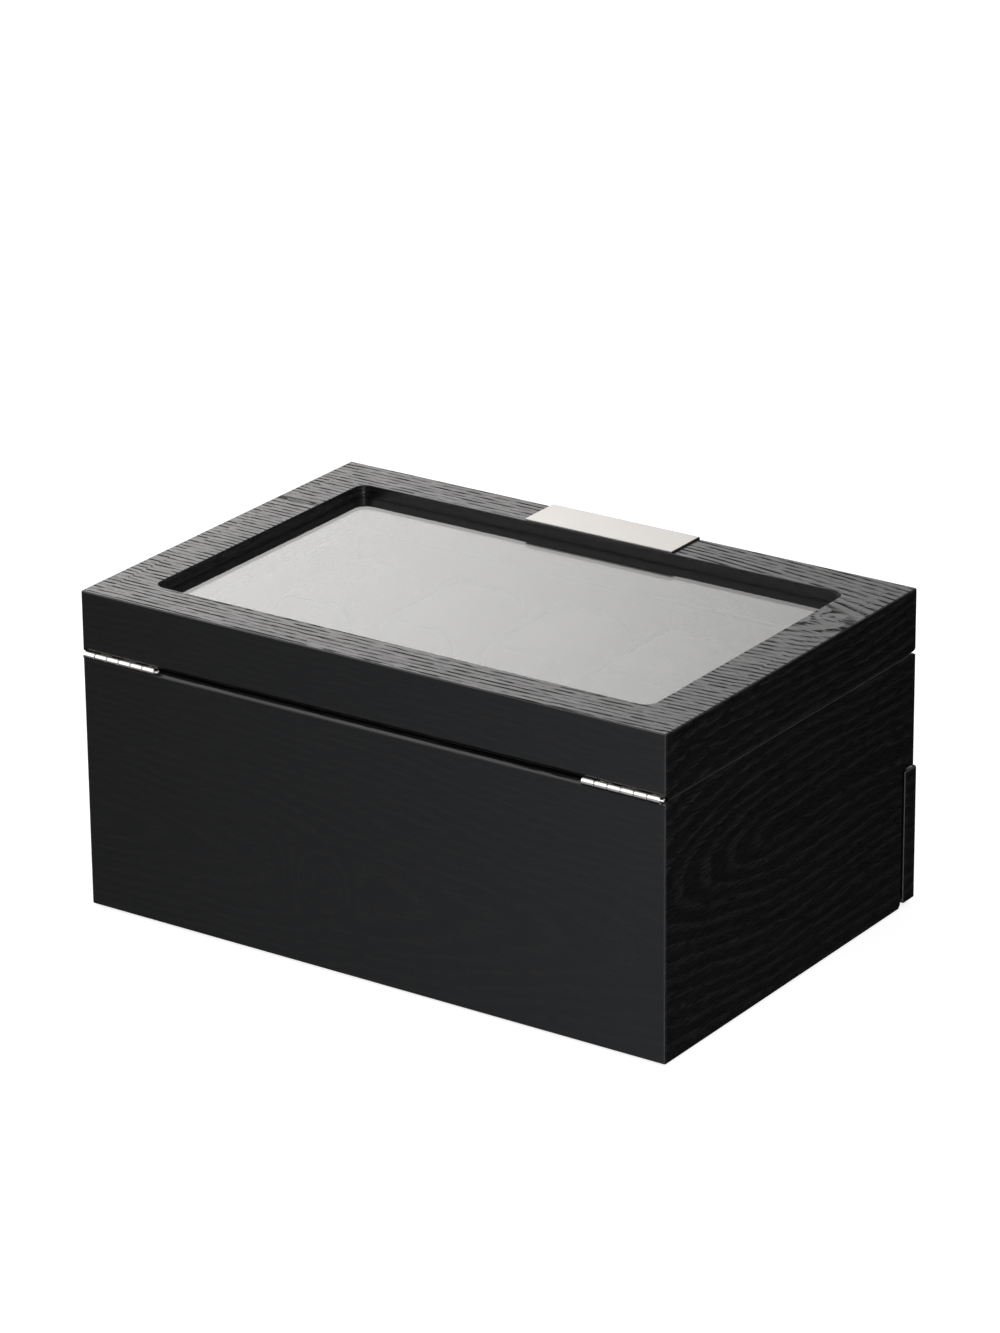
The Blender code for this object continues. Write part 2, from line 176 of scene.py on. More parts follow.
def prism(outline, low_x, high_x, rim=0.0):
    """An outline of (y, z) points run along X. Its two end rims are rounded where rim isn't 0."""
    shape = bmesh.new()
    ends = []
    for x in (low_x, high_x):
        ends.append([shape.verts.new((x, y, z)) for y, z in outline])
    shape.faces.new(ends[0])
    shape.faces.new(list(reversed(ends[1])))
    for index in range(len(outline)):
        shape.faces.new((ends[0][index - 1], ends[0][index], ends[1][index], ends[1][index - 1]))
    bmesh.ops.recalc_face_normals(shape, faces=shape.faces)
    if rim:
        round_rims = [e for e in shape.edges if abs(e.verts[0].co.x - e.verts[1].co.x) < 1e-9]
        bmesh.ops.bevel(shape, geom=round_rims, offset=rim, segments=2, affect="EDGES", clamp_overlap=True)
    return new_object("prism", mesh_from(shape))


def arc(centre, radius, start, end, steps):
    turns = [math.radians(start + (end - start) * i / steps) for i in range(steps + 1)]
    return [(centre[0] + radius * math.cos(a), centre[1] + radius * math.sin(a)) for a in turns]


def rounded_rectangle(half_x, half_y, radius, steps):
    points = []
    for quarter, (sx, sy) in enumerate(((1, 1), (-1, 1), (-1, -1), (1, -1))):
        centre = (sx * (half_x - radius), sy * (half_y - radius))
        points += arc(centre, radius, quarter * 90, quarter * 90 + 90, steps)
    return points


def shade(obj, width=0.0, segments=3):
    """Rounds an object's sharp edges unless width is 0, and smooths its shading but keeps its flats flat."""
    if width:
        modifier = obj.modifiers.new("rounded_edges", "BEVEL")
        modifier.width = width
        modifier.segments = segments
        modifier.limit_method = "ANGLE"
        modifier.angle_limit = SHARP
        applied(obj)
    obj.data.shade_smooth()
    obj.data.set_sharp_from_angle(angle=CREASE)
    modifier = obj.modifiers.new("flat_faces", "WEIGHTED_NORMAL")
    modifier.keep_sharp = True
    return applied(obj)


def finish_piece(obj, name, material, body, *nodes):
    """Names a piece, gives it its material and slot, and hangs it on its body in place of CAD nodes."""
    obj.name = name
    obj.data.name = name
    obj.data.materials.clear()
    obj.data.materials.append(material)
    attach(obj, body)
    if nodes:
        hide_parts(*nodes)
    return obj


def dress(obj, node, material):
    """Makes a piece stand for one CAD node, on the same body and in the same slot."""
    return finish_piece(obj, f"{node}_finish", material, BODY_OF[node], node)


def refined(node, material, width, segments=3):
    """A CAD piece with its flats made whole again and its sharp edges rounded."""
    shape = bmesh.new()
    shape.from_mesh(frame["nodes"][node].data)
    bmesh.ops.remove_doubles(shape, verts=shape.verts, dist=NEAR)
    bmesh.ops.dissolve_limit(shape, angle_limit=math.radians(1), verts=shape.verts, edges=shape.edges)
    obj = new_object(node, mesh_from(shape))
    return dress(shade(obj, width, segments), node, material)


# Materials


class Nodes:
    """A node tree in the making: each method adds a node and returns what comes out of it."""

    def __init__(self, tree):
        self.tree = tree

    def add(self, kind, inputs=(), **settings):
        made = self.tree.nodes.new(kind)
        for key, value in settings.items():
            setattr(made, key, value)
        for key, value in dict(inputs).items():
            if isinstance(value, bpy.types.NodeSocket):
                self.tree.links.new(value, made.inputs[key])
            else:
                made.inputs[key].default_value = value
        return made.outputs

    def math(self, operation, *values):
        return self.add("ShaderNodeMath", enumerate(values), operation=operation)[0]

    def total(self, *values):
        result = values[0]
        for value in values[1:]:
            result = self.math("ADD", result, value)
        return result

    def times(self, *values):
        result = values[0]
        for value in values[1:]:
            result = self.math("MULTIPLY", result, value)
        return result

    def ramp(self, value, low, high, start=0.0, end=1.0):
        """A smooth step from start to end as a value goes from low to high."""
        inputs = {"Value": value, "From Min": low, "From Max": high, "To Min": start, "To Max": end}
        return self.add("ShaderNodeMapRange", inputs, interpolation_type="SMOOTHSTEP")[0]

    def blend(self, share, first, second):
        """From one value to another, by a share."""
        return self.add("ShaderNodeMix", {0: share, 2: first, 3: second}, data_type="FLOAT")[0]

    def colours(self, share, first, second):
        """From one colour to another, by a share."""
        inputs = {0: share, 6: first, 7: second}
        inputs = {k: (*v, 1) if isinstance(v, tuple) else v for k, v in inputs.items()}
        return self.add("ShaderNodeMix", inputs, data_type="RGBA")[2]

    def vector(self, x, y, z):
        return self.add("ShaderNodeCombineXYZ", {0: x, 1: y, 2: z})[0]

    def split(self, vector):
        return list(self.add("ShaderNodeSeparateXYZ", {0: vector}))

    def stretched(self, vector, x, y, z):
        return self.add("ShaderNodeVectorMath", {0: vector, 1: (x, y, z)}, operation="MULTIPLY")[0]

    def noise(self, vector, scale=1.0, detail=2.0, rough=0.5, warp=0.0):
        inputs = {"Vector": vector, "Scale": scale, "Detail": detail, "Roughness": rough, "Distortion": warp}
        return self.add("ShaderNodeTexNoise", inputs)[0]

    def bump(self, height, distance, strength):
        inputs = {"Height": height, "Distance": distance, "Strength": strength}
        return self.add("ShaderNodeBump", inputs)[0]


class Finish(Nodes):
    """A material with one Principled shader, for a slot. Values given here are the same all over."""

    def __init__(self, slot, **constants):
        self.material = bpy.data.materials.new(f"{slot}_look")
        self.material["slot"] = slot
        self.material.use_nodes = True
        super().__init__(self.material.node_tree)
        self.shader = self.tree.nodes["Principled BSDF"]
        for key, value in constants.items():
            socket = self.shader.inputs[key.replace("_", " ")]
            socket.default_value = (*value, 1) if isinstance(value, tuple) else value
        places = self.add("ShaderNodeTexCoord")
        self.place = places["Object"]
        self.facing = places["Normal"]

    def use(self, **links):
        for key, value in links.items():
            self.tree.links.new(value, self.shader.inputs[key.replace("_", " ")])
        return self.material


class Grain:
    """Where the wood's fibres run. u goes along the grain, v goes across it, and seed differs from face to
    face. level, side and long are 1 on level faces, on side faces, and on faces to the front and back."""

    def __init__(self, nodes):
        self.nodes = nodes
        x, y, z = nodes.split(nodes.place)
        facing = nodes.split(nodes.facing)
        normals = [nodes.math("ABSOLUTE", n) for n in facing]
        self.level = nodes.math("GREATER_THAN", normals[2], 0.7)
        sideways = nodes.math("GREATER_THAN", normals[0], normals[1])
        self.side = nodes.times(sideways, nodes.math("SUBTRACT", 1.0, self.level))
        self.long = nodes.math("SUBTRACT", nodes.math("SUBTRACT", 1.0, self.level), self.side)
        self.u = nodes.blend(self.side, x, y)
        self.v = nodes.blend(self.level, z, y)
        sign = nodes.math("SIGN", nodes.blend(self.side, facing[1], facing[0]))
        kind = nodes.total(nodes.times(self.level, 3.7), nodes.times(self.side, 7.1))
        self.seed = nodes.total(kind, nodes.times(sign, 0.83))

    def for_face(self, level, side, long):
        """The one of three values that belongs to the kind of face."""
        return self.nodes.blend(self.level, self.nodes.blend(self.side, long, side), level)

    def noise(self, along, across, detail, rough=0.5, shift=0.0):
        """Noise with so many waves a metre along the grain and across it."""
        nodes = self.nodes
        seed = nodes.total(self.seed, shift) if shift else self.seed
        place = nodes.vector(nodes.times(self.u, along), nodes.times(self.v, across), seed)
        return nodes.noise(place, detail=detail, rough=rough)


def flat_sawn(nodes, grain, spacing, heart, depth, warp=1.0):
    """The growth rings of a flat-sawn sheet, counted from its pith: heart is the line that they close around,
    and depth how far below the sheet the pith runs, which may change along it. A ring starts at each whole
    number."""
    slow = grain.noise(7.0, 22.0, detail=1.0)
    drift = nodes.times(nodes.math("SUBTRACT", slow, 0.5), 0.022, warp)
    wavy = grain.noise(38.0, 130.0, detail=2.0)
    ripple = nodes.times(nodes.math("SUBTRACT", wavy, 0.5), 0.0045, warp)
    across = nodes.total(nodes.math("SUBTRACT", grain.v, heart), drift)
    radius = nodes.math("SQRT", nodes.total(nodes.times(across, across), nodes.times(depth, depth)))
    return nodes.math("DIVIDE", nodes.total(radius, ripple), spacing)


def knot(nodes, grain, u, v, width, rings):
    """What a knot adds to the count of rings around its place."""
    along = nodes.math("DIVIDE", nodes.math("SUBTRACT", grain.u, u), width)
    across = nodes.math("DIVIDE", nodes.math("SUBTRACT", grain.v, v), width * 0.8)
    off = nodes.total(nodes.times(along, along), nodes.times(across, across))
    return nodes.times(nodes.math("EXPONENT", nodes.times(off, -1.0)), rings)


def open_pores(nodes, grain, phase):
    """How far each point lies in an open pore and in the early wood, the start of a ring. The pores are long
    dashes, most of them in the early wood."""
    early = nodes.times(nodes.ramp(phase, 0.0, 0.06), nodes.ramp(phase, 0.60, 0.22))
    wide_dashes = nodes.ramp(grain.noise(80.0, 850.0, detail=1.0), 0.46, 0.53)
    thin_dashes = nodes.ramp(grain.noise(150.0, 2300.0, detail=1.0, shift=5.0), 0.51, 0.58)
    broad = nodes.times(nodes.blend(early, 0.10, 1.0), wide_dashes, nodes.blend(grain.side, 1.0, 0.35))
    fine = nodes.times(thin_dashes, nodes.blend(early, 0.35, 1.0))
    return nodes.math("MAXIMUM", broad, nodes.times(fine, 0.7)), early


def black_veneer():
    """Black-stained oak veneer under thin satin lacquer, which does not fill the open pores."""
    finish = Finish("black_veneer", IOR=1.5, Specular_IOR_Level=0.08, Coat_IOR=1.5, Coat_Roughness=0.24)
    finish.shader.inputs["Coat Tint"].default_value = (1.0, 0.97, 0.975, 1.0)
    grain = Grain(finish)
    shallowest = 0.004
    level_depth = finish.math("MAXIMUM", finish.total(finish.times(grain.u, -0.22), 0.003), shallowest)
    side_depth = finish.math("MAXIMUM", finish.total(finish.times(grain.u, 0.30), -0.002), shallowest)
    long_depth = finish.total(finish.times(grain.u, -0.10), 0.034)
    rings = flat_sawn(
        finish,
        grain,
        spacing=grain.for_face(level=0.0033, side=0.0062, long=0.0036),
        heart=grain.for_face(level=-0.045, side=0.078, long=0.045),
        depth=grain.for_face(level_depth, side_depth, long_depth),
        warp=finish.blend(grain.level, 0.8, 0.16),
    )
    rail_knot = knot(finish, grain, u=-0.141, v=-0.051, width=0.006, rings=1.6)
    back_knot = knot(finish, grain, u=0.026, v=0.043, width=0.016, rings=5.0)
    rings = finish.total(rings, finish.times(grain.level, rail_knot), finish.times(grain.long, back_knot))
    pores, early = open_pores(finish, grain, finish.math("FRACT", rings))
    fibre = grain.noise(60.0, 1500.0, detail=3.0, rough=0.6)
    cloud = finish.noise(finish.place, scale=22.0, detail=2.0)
    stain = finish.colours(finish.ramp(fibre, 0.3, 0.75), (0.0024, 0.0023, 0.0025), (0.0038, 0.0034, 0.0034))
    # The pores' own dark grey, painted lighter on the side faces only: a painted sheen that stands in for the
    # glossy light they catch there.
    pore_tone_and_side_sheen = finish.colours(grain.side, (0.0110, 0.0106, 0.0106), (0.0340, 0.0330, 0.0330))
    colour = finish.colours(finish.times(pores, 0.85), stain, pore_tone_and_side_sheen)
    dulled = finish.total(finish.times(early, 0.06), finish.times(pores, 0.42))
    rough = finish.total(finish.blend(cloud, 0.40, 0.46), dulled)
    bare = finish.total(finish.times(early, 0.08), finish.times(fibre, 0.12), finish.times(pores, 0.84))
    lacquer = finish.total(0.97, finish.times(bare, finish.blend(grain.level, -0.08, -1.0)))
    height = finish.math("SUBTRACT", finish.times(fibre, 0.12), pores)
    normal = finish.bump(height, 0.00006, 0.8)
    return finish.use(Base_Color=colour, Roughness=rough, Coat_Weight=lacquer, Normal=normal)


def stained_board():
    """The stained boards inside: fine fibres, and rings that darken toward the late wood."""
    finish = Finish("stained_board", IOR=1.45)
    grain = Grain(finish)
    depth = finish.total(finish.times(grain.u, 0.12), 0.055)
    phase = finish.math("FRACT", flat_sawn(finish, grain, spacing=0.0065, heart=0.01, depth=depth))
    fibre = grain.noise(45.0, 1100.0, detail=3.0, rough=0.65)
    rings = finish.times(phase, phase)
    shade_share = finish.total(finish.times(fibre, 0.6), finish.times(rings, 0.4))
    colour = finish.colours(shade_share, (0.016, 0.0145, 0.0135), (0.0065, 0.0060, 0.0058))
    rough = finish.blend(fibre, 0.52, 0.68)
    normal = finish.bump(finish.total(fibre, finish.times(rings, 0.3)), 0.00008, 0.8)
    return finish.use(Base_Color=colour, Roughness=rough, Normal=normal)


def velour():
    """Short-piled lining, brushed and crushed a little here and there."""
    sheen = {"Sheen_Weight": 0.06, "Sheen_Roughness": 0.4, "Sheen_Tint": (0.60, 0.62, 0.68)}
    finish = Finish("velour", IOR=1.4, **sheen)
    brushed = finish.noise(finish.place, scale=70.0, detail=3.0, warp=1.2)
    nap = finish.noise(finish.place, scale=3800.0, detail=2.0, rough=0.7)
    crushed = finish.noise(finish.stretched(finish.place, 1.0, 1.0, 0.35), scale=420.0, detail=2.0, warp=0.8)
    share = finish.times(finish.ramp(brushed, 0.35, 0.65), finish.blend(nap, 0.5, 1.0))
    colour = finish.colours(share, (0.0080, 0.0080, 0.0089), (0.0140, 0.0138, 0.0149))
    rough = finish.blend(brushed, 0.85, 1.0)
    height = finish.total(nap, finish.times(crushed, 0.8))
    return finish.use(Base_Color=colour, Roughness=rough, Normal=finish.bump(height, 0.00006, 0.5))


def cushion_cloth():
    """A plain weave with a thread every 0.7 mm."""
    sheen = {"Sheen_Weight": 0.08, "Sheen_Roughness": 0.45, "Sheen_Tint": (0.62, 0.63, 0.68)}
    finish = Finish("cushion_cloth", IOR=1.4, **sheen)
    turns = 2 * math.pi / 0.0007
    x, y, z = [finish.math("SINE", finish.times(c, turns)) for c in finish.split(finish.place)]
    weave = finish.total(finish.times(x, y), finish.times(y, z), finish.times(z, x))
    slub = finish.noise(finish.stretched(finish.place, 1.0, 0.12, 1.0), scale=900.0, detail=2.0)
    cloud = finish.noise(finish.place, scale=55.0, detail=3.0, warp=0.6)
    share = finish.total(finish.times(finish.ramp(weave, -1.0, 1.0), 0.5), finish.times(slub, 0.5))
    colour = finish.colours(share, (0.0140, 0.0140, 0.0154), (0.0250, 0.0247, 0.0265))
    rough = finish.blend(cloud, 0.80, 0.95)
    height = finish.total(finish.times(weave, 0.35), slub)
    return finish.use(Base_Color=colour, Roughness=rough, Normal=finish.bump(height, 0.00005, 0.6))


def base_felt():
    """The pressed fibres under the case."""
    finish = Finish("base_felt", Sheen_Weight=0.3, Sheen_Roughness=0.6, IOR=1.4)
    fibres = finish.noise(finish.place, scale=1600.0, detail=4.0, rough=0.75, warp=2.5)
    cloud = finish.noise(finish.place, scale=90.0, detail=3.0)
    colour = finish.colours(finish.times(fibres, cloud), (0.006, 0.006, 0.006), (0.032, 0.031, 0.030))
    rough = finish.blend(cloud, 0.92, 1.0)
    return finish.use(Base_Color=colour, Roughness=rough, Normal=finish.bump(fibres, 0.0003, 1.0))


def window_glass():
    """Clear glass with a faint grey tint."""
    finish = Finish("window_glass", Transmission_Weight=1.0, IOR=1.5, Roughness=0.0)
    haze = finish.noise(finish.place, scale=14.0, detail=4.0, rough=0.6, warp=0.8)
    colour = finish.colours(haze, (0.90, 0.91, 0.91), (0.92, 0.93, 0.93))
    return finish.use(Base_Color=colour)


def satin_steel():
    """Steel brushed along X."""
    finish = Finish("satin_steel", Metallic=1.0)
    lines = finish.noise(finish.stretched(finish.place, 45.0, 5200.0, 5200.0), detail=3.0, rough=0.6)
    cloud = finish.noise(finish.place, scale=60.0, detail=3.0)
    colour = finish.colours(lines, (0.47, 0.455, 0.435), (0.54, 0.525, 0.505))
    rough = finish.total(finish.blend(lines, 0.24, 0.36), finish.times(cloud, 0.06))
    return finish.use(Base_Color=colour, Roughness=rough, Normal=finish.bump(lines, 0.00001, 0.5))


def bright_nickel():
    """Plated metal, turned round X and a little smeared."""
    finish = Finish("bright_nickel", Metallic=1.0)
    smear = finish.noise(finish.place, scale=700.0, detail=3.0, warp=0.5)
    turned = finish.noise(finish.stretched(finish.place, 6500.0, 300.0, 300.0), detail=2.0)
    colour = finish.colours(smear, (0.80, 0.775, 0.74), (0.90, 0.88, 0.85))
    rough = finish.blend(finish.times(smear, turned), 0.12, 0.34)
    return finish.use(Base_Color=colour, Roughness=rough, Normal=finish.bump(turned, 0.000006, 0.5))


# Wooden walls


def quarter_fall(distance, width, height):
    """How far a quarter of an ellipse has fallen from its flat, at a distance from the face that it meets."""
    if distance >= width:
        return 0.0
    return height * (1 - math.sqrt(max(0.0, 1 - (1 - max(distance, 0.0) / width) ** 2)))


def quarter_stations(width, steps):
    """Distances from the face at which a rounded edge gets its points, closer together near the face."""
    return [width * (1 - math.cos(math.radians(90 * i / steps))) for i in range(steps + 1)]


def corner_stations():
    """Distances from the neighbouring face along half of a vertical corner, from the mitre to the flat."""
    steps = CORNER_STEPS // 2
    return [CORNER_RADIUS * (1 - math.sin(math.radians(45 * (steps - i) / steps))) for i in range(steps + 1)]


def outline_distance(x, y):
    """How far a point lies inside the box's rounded outline in plan."""
    qx, qy = abs(x) - (HALF_L - CORNER_RADIUS), abs(y) - (HALF_D - CORNER_RADIUS)
    outside = math.hypot(max(qx, 0.0), max(qy, 0.0))
    return CORNER_RADIUS - outside - min(max(qx, qy), 0.0)


def edge_fall(x, y):
    """The eased edge around the outside."""
    return quarter_fall(outline_distance(x, y), EDGE, EDGE)


def seam_fall(x, y):
    """The rounded lips along front and back, and the eased edges of the other sides and of the inside, run
    smoothly into each other."""
    inside = max(abs(x) - INNER_X, abs(y) - INNER_Y)
    falls = (
        quarter_fall(HALF_D - abs(y), LIP_DEPTH, LIP_HEIGHT),
        edge_fall(x, y),
        quarter_fall(inside, EDGE, EDGE),
    )
    return sum(fall**4 for fall in falls) ** 0.25


def no_fall(*_):
    """The flat top of the lid's walls, under the top frame."""
    return 0.0


CORNER = corner_stations()
LIP = quarter_stations(LIP_DEPTH, LIP_STEPS)
APART = 1e-5
DEPTHS = [t for t in LIP if t < CORNER[0] - APART] + CORNER + [t for t in LIP if t > CORNER_RADIUS + APART]
DEPTHS += [WALL - t for t in reversed(quarter_stations(EDGE, EDGE_STEPS))]


def corner_depth(from_end):
    """How deep a vertical corner starts, at a distance from the neighbouring face."""
    return quarter_fall(from_end, CORNER_RADIUS, CORNER_RADIUS)


def wall_place(side, s, depth):
    """A point of a wall in plan: s along it, and depth from its outer face."""
    return {
        "front": (s, depth - HALF_D),
        "back": (-s, HALF_D - depth),
        "right": (HALF_L - depth, s),
        "left": (depth - HALF_L, -s),
    }[side]


def wall(side, low_z, high_z, rise, fall):
    """A mitred wall. rise and fall say how far its underside rises and its top falls at a place in plan."""
    half = HALF_L if side in ("front", "back") else HALF_D
    ends = [t for t in DEPTHS if t > CORNER[0] - NEAR]
    stations = [(-1, t) for t in ends] + [(1, t) for t in reversed(ends)]
    shape = bmesh.new()
    known = {}

    def vertex(point):
        key = tuple(round(c * 1e8) for c in point)
        if key not in known:
            known[key] = shape.verts.new(point)
        return known[key]

    def face(*loop):
        kept = [v for i, v in enumerate(loop) if v is not loop[i - 1]]
        if len(kept) > 2:
            shape.faces.new(kept)

    grids = []
    for base, sign, form in ((low_z, 1, rise), (high_z, -1, fall)):
        grid = []
        for toward, from_end in stations:
            row = []
            for depth in DEPTHS:
                end = max(from_end, depth)
                x, y = wall_place(side, toward * (half - end), max(depth, corner_depth(end)))
                row.append(vertex((x, y, base + sign * form(x, y))))
            grid.append(row)
        grids.append(grid)
    low, high = grids
    for i in range(len(stations) - 1):
        for grid in grids:
            for j in range(len(DEPTHS) - 1):
                face(grid[i][j], grid[i + 1][j], grid[i + 1][j + 1], grid[i][j + 1])
        for j in (0, -1):
            face(low[i][j], low[i + 1][j], high[i + 1][j], high[i][j])
    for end in (0, -1):
        face(*low[end], *reversed(high[end]))
    return new_object(f"{side}_wall", mesh_from(shape))


def drawer_notch():
    """What the lower front of each side leaves free for the drawer front."""
    front = -HALF_D - WALL
    face = -INNER_Y
    foot = arc((face + FOOT_RADIUS, WOOD_BOTTOM + FOOT_RADIUS), FOOT_RADIUS, 270, 180, 8)
    outline = [(front, -WALL), (face + FOOT_RADIUS, -WALL), *foot, (face, OPENING_TOP), (front, OPENING_TOP)]
    return prism(outline, -HALF_L - WALL, HALF_L + WALL)


def left_by_notch(edge):
    """Whether an edge of a side lies where the notch meets the side's outer or inner face."""
    first, second = [v.co for v in edge.verts]
    reach = -INNER_Y - NEAR, -INNER_Y + FOOT_RADIUS + NEAR
    if not all(reach[0] < v.y < reach[1] and v.z < OPENING_TOP + NEAR for v in (first, second)):
        return False
    if len(edge.link_faces) != 2 or edge.calc_face_angle() <= math.radians(60):
        return False
    from_face = min(abs(abs(first.x) - HALF_L), abs(abs(first.x) - INNER_X))
    return abs(first.x - second.x) < NEAR and from_face < NEAR


def ease_notch(obj):
    """Eases the edges that the notch leaves on the faces of a side."""
    shape = bmesh.new()
    shape.from_mesh(obj.data)
    eased = [e for e in shape.edges if left_by_notch(e)]
    bmesh.ops.bevel(shape, geom=eased, offset=EDGE * 0.7, segments=2, affect="EDGES", clamp_overlap=True)
    obj.data = mesh_from(shape)
    return obj


def hinge_box(side_name):
    """A hinge's low and high x, and its leaf's inner y, from its CAD leaf."""
    low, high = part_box(f"hinge_{side_name}_case_leaf")
    return low.x, high.x, low.y


PIN_LOW, PIN_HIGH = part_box("hinge_left_pin")
AXIS_Y, AXIS_Z = (PIN_LOW.y + PIN_HIGH.y) / 2, (PIN_LOW.z + PIN_HIGH.z) / 2
BARREL_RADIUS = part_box("hinge_left_case_leaf")[1].y - AXIS_Y


def hinge_room(side_name):
    """The mortise for both leaves and the room for the barrel, as two cutters."""
    low_x, high_x, low_y = hinge_box(side_name)
    low_x -= LEAF_GAP
    high_x += LEAF_GAP
    half = LEAF_THICK + 1.5 * LEAF_GAP
    leaves = box_solid((low_x, low_y - LEAF_GAP, AXIS_Z - half), (high_x, AXIS_Y, AXIS_Z + half))
    barrel = rod_solid(BARREL_RADIUS + LEAF_GAP, low_x, high_x, AXIS_Y, AXIS_Z)
    return leaves, barrel


def wooden_walls(veneer):
    for side in ("left", "right"):
        case_side = wall(side, WOOD_BOTTOM, CASE_TOP, edge_fall, seam_fall)
        combine(case_side, drawer_notch())
        ease_notch(case_side)
        combine(case_side, *hinge_room(side))
        dress(shade(case_side), f"case_{side}_side", veneer)
        lid_side = wall(side, LID_BOTTOM, LID_RAIL_TOP, seam_fall, no_fall)
        combine(lid_side, *hinge_room(side))
        dress(shade(lid_side), f"lid_{side}_rail", veneer)
    dress(shade(wall("front", OPENING_TOP, CASE_TOP, edge_fall, seam_fall)), "case_front_rail", veneer)
    dress(shade(wall("front", LID_BOTTOM, LID_RAIL_TOP, seam_fall, no_fall)), "lid_front_rail", veneer)
    back = wall("back", WOOD_BOTTOM, CASE_TOP, edge_fall, seam_fall)
    dress(shade(combine(back, *hinge_room("left"), *hinge_room("right"))), "case_back_panel", veneer)
    back = wall("back", LID_BOTTOM, LID_RAIL_TOP, seam_fall, no_fall)
    dress(shade(combine(back, *hinge_room("left"), *hinge_room("right"))), "lid_back_rail", veneer)


def top_frame(veneer):
    """The lid's top, one sheet with a rounded outer edge and a window cut out of it."""
    rings = []

    def ring(half_x, half_y, radius, z):
        outline = rounded_rectangle(half_x, half_y, radius, CORNER_STEPS)
        rings.append([(x, y, z) for x, y in outline])

    ring(HALF_L, HALF_D, CORNER_RADIUS, LID_RAIL_TOP)
    for t in quarter_stations(TOP_EDGE, TOP_EDGE_STEPS):
        ring(HALF_L - t, HALF_D - t, CORNER_RADIUS - t, HEIGHT - quarter_fall(t, TOP_EDGE, TOP_EDGE))
    window = (HALF_L - RAIL_WIDTH, HALF_D - RAIL_WIDTH)
    for t in reversed(quarter_stations(WINDOW_EDGE, WINDOW_EDGE_STEPS)):
        z = HEIGHT - quarter_fall(t, WINDOW_EDGE, WINDOW_EDGE)
        ring(window[0] + t, window[1] + t, WINDOW_RADIUS + t, z)
    ring(*window, WINDOW_RADIUS, LID_RAIL_TOP)
    shape = bmesh.new()
    loops = [[shape.verts.new(point) for point in points] for points in rings]
    for first, second in zip(loops, loops[1:] + loops[:1]):
        for i in range(len(first)):
            shape.faces.new((first[i - 1], first[i], second[i], second[i - 1]))
    obj = new_object("top_frame", mesh_from(shape))
    dress(shade(obj), "lid_top_frame", veneer)


# Metalwork


def folded(corner, toward, level, drop, thick, low_x, high_x):
    """A folded plate. One leg runs from the corner toward +Y or -Y, as far as level says, and the other one
    hangs as far as drop says."""
    centre = (FOLD_RADIUS, -FOLD_RADIUS)
    inside = FOLD_RADIUS - thick
    outline = [(level, 0), *arc(centre, FOLD_RADIUS, 90, 180, 10), (0, -drop), (thick, -drop)]
    outline += [*arc(centre, inside, 180, 90, 8), (level, -thick)]
    obj = prism([(corner[0] + toward * y, corner[1] + z) for y, z in outline], low_x, high_x)
    return shade(obj, METAL_EDGE, 2)


def plate_and_pull(steel):
    """The plate's level leg runs back over the lid, and the pull's runs forward from the drawer front."""
    for node, toward, thick in (("lid_plate", 1, PLATE_THICK), ("drawer_pull", -1, PULL_THICK)):
        low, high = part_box(node)
        corner = (low.y if toward > 0 else high.y, high.z)
        dress(folded(corner, toward, high.y - low.y, high.z - low.z, thick, low.x, high.x), node, steel)


def knuckle(low_x, high_x, side):
    """A rolled knuckle and its neck, above the seam for side +1 and below it for -1."""
    near, far = LEAF_GAP / 2, LEAF_GAP / 2 + LEAF_THICK
    near_angle, far_angle = [math.degrees(math.asin(z / BARREL_RADIUS)) for z in (near, far)]
    neck = -LEAF_CLEAR - LEAF_GAP
    barrel = arc((0, 0), BARREL_RADIUS, 180 - far_angle, -180 - near_angle, BARREL_STEPS)
    outline = [(neck, near), (neck, far), *barrel]
    section = [(AXIS_Y + y, AXIS_Z + side * z) for y, z in outline]
    return prism(section, low_x, high_x, rim=METAL_EDGE)


def screw_places(side_name):
    """Where a leaf's three screws stand, in plan."""
    low_x, high_x, low_y = hinge_box(side_name)
    y = (low_y + AXIS_Y - LEAF_CLEAR) / 2
    return [((low_x + high_x) / 2 + offset, y) for offset in SCREW_OFFSETS]


def sink(x, y, z, side):
    """The cone of a countersunk hole, wide at the leaf's shown face, which looks into the seam."""
    radii = (SINK_WIDE, SINK_NARROW) if side > 0 else (SINK_NARROW, SINK_WIDE)
    return new_object("sink", cone_mesh(*radii, SINK_DEPTH, SCREW_STEPS, Matrix.Translation((x, y, z))))


def hinge_leaf(side_name, side, nickel):
    """One leaf with its three knuckles and its countersunk holes: side +1 is the lid's and -1 the case's."""
    low_x, high_x, low_y = hinge_box(side_name)
    near, far = AXIS_Z + side * LEAF_GAP / 2, AXIS_Z + side * (LEAF_GAP / 2 + LEAF_THICK)
    leaf = box_solid((low_x, low_y, min(near, far)), (high_x, AXIS_Y - LEAF_CLEAR, max(near, far)))
    pitch = (high_x - low_x) / KNUCKLES
    knuckles = []
    for index in range(0 if side < 0 else 1, KNUCKLES, 2):
        start = low_x + index * pitch + KNUCKLE_GAP / 2
        knuckles.append(knuckle(start, start + pitch - KNUCKLE_GAP, side))
    combine(leaf, *knuckles, operation="UNION")
    combine(leaf, rod_solid(BORE_RADIUS, low_x - WALL, high_x + WALL, AXIS_Y, AXIS_Z))
    middle = near + side * (SINK_DEPTH / 2 - LEAF_GAP)
    combine(leaf, *[sink(x, y, middle, side) for x, y in screw_places(side_name)])
    body_name = "lid" if side > 0 else "case"
    dress(shade(leaf), f"hinge_{side_name}_{body_name}_leaf", nickel)


